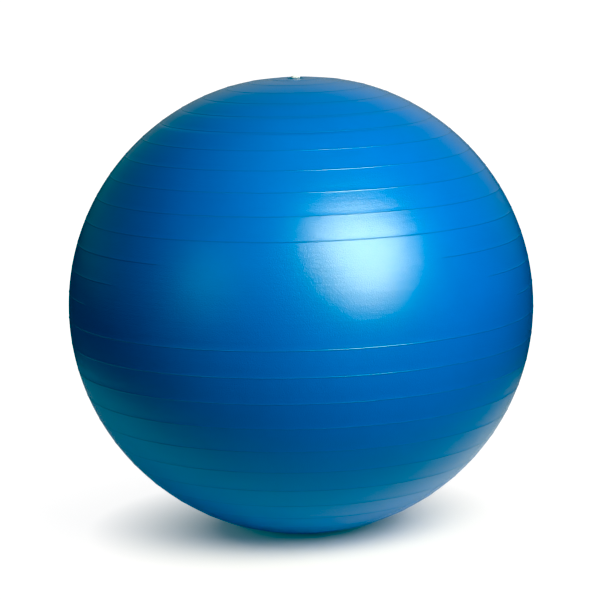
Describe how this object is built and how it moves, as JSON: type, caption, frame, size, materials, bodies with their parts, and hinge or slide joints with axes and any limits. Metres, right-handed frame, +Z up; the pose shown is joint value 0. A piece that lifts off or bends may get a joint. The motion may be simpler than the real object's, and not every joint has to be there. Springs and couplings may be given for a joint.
{
  "type": "exercise ball",
  "caption": "Large inflated exercise ball with raised ribs round it, a valve in its top pole and a stopper that pulls out of the valve.",
  "frame": {"origin": "centre of the flat that the ball presses against the floor, at the bottom of the ball", "axes": "+Z up through the ball's two poles, with the valve at the top; -Y towards the front, where the smooth print panel is; +X to the right as seen from the front"},
  "size_m": [0.6504, 0.6504, 0.6396],
  "materials": {
    "ball_vinyl": "satin",
    "valve_vinyl": "satin",
    "plug_plastic": "satin"
  },
  "bodies": {
    "ball": {"ball_shell": "ball_vinyl", "valve_seat": "valve_vinyl"},
    "plug": {"valve_plug": "plug_plastic"}
  },
  "joints": [
    {"name": "plug_pull", "type": "slide", "parent": "ball", "child": "plug", "axis": [0, 0, 1], "range_m": [0, 0.03]}
  ]
}
